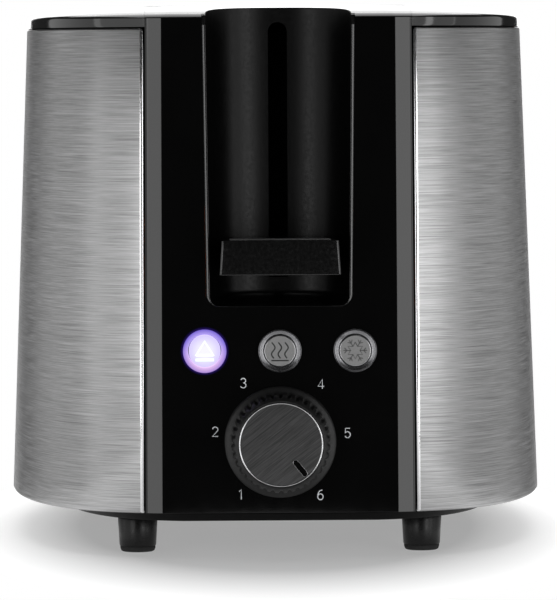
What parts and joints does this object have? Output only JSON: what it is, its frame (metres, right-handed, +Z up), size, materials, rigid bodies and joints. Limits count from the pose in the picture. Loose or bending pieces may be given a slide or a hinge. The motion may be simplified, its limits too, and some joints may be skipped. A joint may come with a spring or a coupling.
{
  "type": "pop-up toaster",
  "caption": "Pop-up toaster with brushed metal sides, black control panel at its narrow end, sliding lever, push buttons, browning dial and pull-out crumb tray.",
  "frame": {"origin": "centre of the bounding box's bottom face, on the plane the foot pads stand on", "axes": "+Z up; -Y is the narrow lever end that the picture shows; +X is to the right seen from that end; +Y is the rear with the inlet and the tray handle"},
  "size_m": [0.194, 0.309, 0.1912],
  "materials": {
    "gloss_black": "high gloss",
    "satin_black": "fine satin grain",
    "brushed_steel": "long horizontal brushing",
    "rubber": "soft moulded",
    "zinc_wire": "bright plated",
    "steel_sheet": "plated sheet",
    "tray_steel": "plated sheet, satin",
    "mica": "layered mineral sheet with wound ribbon",
    "copper": "lacquered winding",
    "circuit_board": "solder resist",
    "metal_ring": "turned, satin",
    "button_cap": "satin metallic, engraved icon",
    "knob_plastic": "satin, knurled",
    "knob_metal": "brushed, dark anodised"
  },
  "bodies": {
    "housing": {"top_cover": "gloss_black", "front_panel": "gloss_black", "lever_channel": "satin_black", "rear_panel": "gloss_black", "left_side_shell": "brushed_steel", "right_side_shell": "brushed_steel", "base_frame": "satin_black", "foot_front_left": "satin_black", "foot_front_right": "satin_black", "foot_rear_left": "satin_black", "foot_rear_right": "satin_black", "foot_pad_front_left": "rubber", "foot_pad_front_right": "rubber", "foot_pad_rear_left": "rubber", "foot_pad_rear_right": "rubber", "base_screw_1": "zinc_wire", "base_screw_2": "zinc_wire", "base_screw_3": "zinc_wire", "base_screw_4": "zinc_wire", "cord_inlet": "rubber", "front_bulkhead": "steel_sheet", "rear_bulkhead": "steel_sheet", "left_reflector": "steel_sheet", "right_reflector": "steel_sheet", "heater_outer_left": "mica", "heater_inner_left": "mica", "heater_inner_right": "mica", "heater_outer_right": "mica", "guide_rod_left": "zinc_wire", "guide_rod_right": "zinc_wire", "rod_bracket": "steel_sheet", "return_spring": "zinc_wire", "electromagnet": "copper", "contact_block": "satin_black", "control_board": "circuit_board", "potentiometer": "steel_sheet", "cancel_bezel": "metal_ring", "reheat_bezel": "metal_ring", "defrost_bezel": "metal_ring", "cancel_switch": "satin_black", "reheat_switch": "satin_black", "defrost_switch": "satin_black"},
    "carriage": {"carriage_plate": "steel_sheet", "lever_arm": "steel_sheet", "lever_handle": "gloss_black", "magnet_keeper": "steel_sheet", "bread_rack_left": "zinc_wire", "bread_rack_right": "zinc_wire"},
    "knob": {"browning_knob": "knob_plastic", "knob_face": "knob_metal", "knob_spindle": "steel_sheet"},
    "cancel": {"cancel_button": "button_cap"},
    "reheat": {"reheat_button": "button_cap"},
    "defrost": {"defrost_button": "button_cap"},
    "tray": {"crumb_tray": "tray_steel"},
    "guide_outer_left": {"bread_guide_outer_left": "zinc_wire"},
    "guide_inner_left": {"bread_guide_inner_left": "zinc_wire"},
    "guide_inner_right": {"bread_guide_inner_right": "zinc_wire"},
    "guide_outer_right": {"bread_guide_outer_right": "zinc_wire"}
  },
  "joints": [
    {"name": "lever_slide", "type": "slide", "parent": "housing", "child": "carriage", "axis": [0, 0, 1], "range_m": [0, 0.075], "deforming": ["return_spring"]},
    {"name": "knob_turn", "type": "hinge", "parent": "housing", "child": "knob", "pos_m": [0, -0.1455, 0.04], "axis": [0, -1, 0], "range_deg": [0, 286]},
    {"name": "cancel_press", "type": "slide", "parent": "housing", "child": "cancel", "axis": [0, 1, 0], "range_m": [0, 0.0022], "stiffness_N_per_m": 400, "springref_m": -0.002},
    {"name": "reheat_press", "type": "slide", "parent": "housing", "child": "reheat", "axis": [0, 1, 0], "range_m": [0, 0.0022], "stiffness_N_per_m": 400, "springref_m": -0.002},
    {"name": "defrost_press", "type": "slide", "parent": "housing", "child": "defrost", "axis": [0, 1, 0], "range_m": [0, 0.0022], "stiffness_N_per_m": 400, "springref_m": -0.002},
    {"name": "tray_slide", "type": "slide", "parent": "housing", "child": "tray", "axis": [0, 1, 0], "range_m": [0, 0.19]},
    {"name": "guide_outer_left_swing", "type": "hinge", "parent": "housing", "child": "guide_outer_left", "pos_m": [-0.046, 0.0045, 0.04], "axis": [0, -1, 0], "range_deg": [0, 4]},
    {"name": "guide_inner_left_swing", "type": "hinge", "parent": "housing", "child": "guide_inner_left", "pos_m": [-0.011, 0.0045, 0.04], "axis": [0, 1, 0], "range_deg": [0, 4]},
    {"name": "guide_inner_right_swing", "type": "hinge", "parent": "housing", "child": "guide_inner_right", "pos_m": [0.011, 0.0045, 0.04], "axis": [0, -1, 0], "range_deg": [0, 4]},
    {"name": "guide_outer_right_swing", "type": "hinge", "parent": "housing", "child": "guide_outer_right", "pos_m": [0.046, 0.0045, 0.04], "axis": [0, 1, 0], "range_deg": [0, 4]}
  ],
  "couplings": [
    {"joint": "guide_outer_left_swing", "follows": "lever_slide", "rad_per_m": 0.93},
    {"joint": "guide_inner_left_swing", "follows": "lever_slide", "rad_per_m": 0.93},
    {"joint": "guide_inner_right_swing", "follows": "lever_slide", "rad_per_m": 0.93},
    {"joint": "guide_outer_right_swing", "follows": "lever_slide", "rad_per_m": 0.93}
  ]
}
